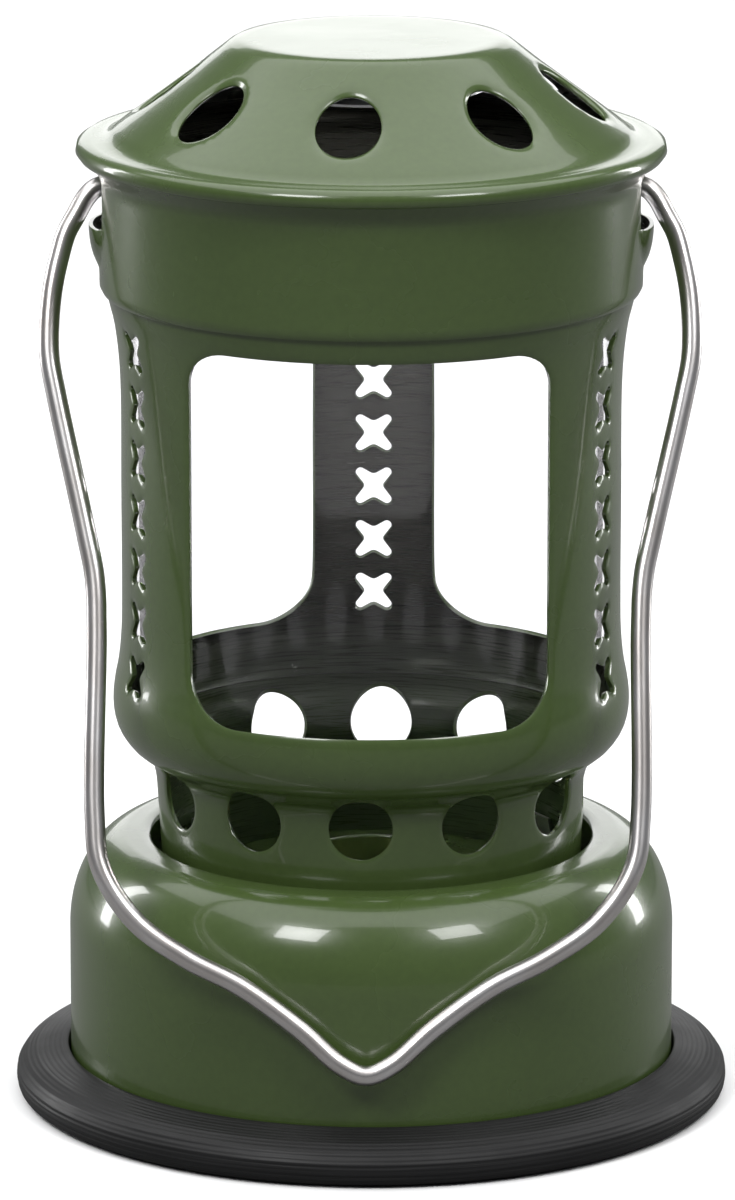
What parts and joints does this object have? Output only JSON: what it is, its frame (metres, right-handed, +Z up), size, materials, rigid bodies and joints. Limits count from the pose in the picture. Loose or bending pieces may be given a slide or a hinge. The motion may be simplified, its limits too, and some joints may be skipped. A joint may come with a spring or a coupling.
{
  "type": "oil lamp",
  "caption": "Small table-top oil lamp: enamelled steel lantern cage with a glass chimney, vented lift-off cap, wire bail, hollow base with a drop-in fount, and a rubber foot ring.",
  "frame": {"origin": "centre of the foot ring's underside, on the surface that the lamp stands on", "axes": "+Z up along the lamp's axis, -Y the front, where the bail hangs, and +X to the viewer's right"},
  "size_m": [0.1, 0.1, 0.1495],
  "materials": {
    "green_enamel": "glossy olive green enamel",
    "black_rubber": "matt moulded black rubber",
    "gasket_rubber": "matt black",
    "stainless_wire": "satin drawn stainless wire",
    "plated_steel": "satin plated steel",
    "aged_brass": "dull, heat darkened",
    "woven_wick": "braided cotton",
    "clear_glass": "clear"
  },
  "bodies": {
    "base": {"rubber_foot_ring": "black_rubber", "base_floor_plate": "plated_steel", "base_shell": "green_enamel", "base_well": "green_enamel", "neck_clip_1": "plated_steel", "neck_clip_2": "plated_steel", "neck_clip_3": "plated_steel", "clip_rivet_1": "plated_steel", "clip_rivet_2": "plated_steel", "clip_rivet_3": "plated_steel"},
    "fount": {"fount_bowl": "plated_steel", "fount_top": "green_enamel"},
    "burner": {"burner_gasket": "gasket_rubber", "burner_plate": "aged_brass", "wick_tube": "aged_brass"},
    "wick": {"wick": "woven_wick"},
    "cage": {"cage": "green_enamel", "glass_chimney": "clear_glass", "chimney_retainer": "plated_steel"},
    "cap": {"cap_top": "green_enamel", "cap_band": "green_enamel", "heat_baffle": "plated_steel"},
    "bail": {"bail": "stainless_wire"}
  },
  "joints": [
    {"name": "cage_lift", "type": "slide", "parent": "base", "child": "cage", "axis": [0, 0, 1], "range_m": [0, 0.05]},
    {"name": "fount_lift", "type": "slide", "parent": "base", "child": "fount", "axis": [0, 0, 1], "range_m": [0, 0.04]},
    {"name": "burner_lift", "type": "slide", "parent": "fount", "child": "burner", "axis": [0, 0, 1], "range_m": [0, 0.02]},
    {"name": "wick_raise", "type": "slide", "parent": "burner", "child": "wick", "axis": [0, 0, 1], "range_m": [0, 0.006]},
    {"name": "cap_lift", "type": "slide", "parent": "cage", "child": "cap", "axis": [0, 0, 1], "range_m": [0, 0.03]},
    {"name": "bail_swing", "type": "hinge", "parent": "cap", "child": "bail", "pos_m": [0, 0, 0.1272], "axis": [-1, 0, 0], "range_deg": [0, 315.6]}
  ]
}
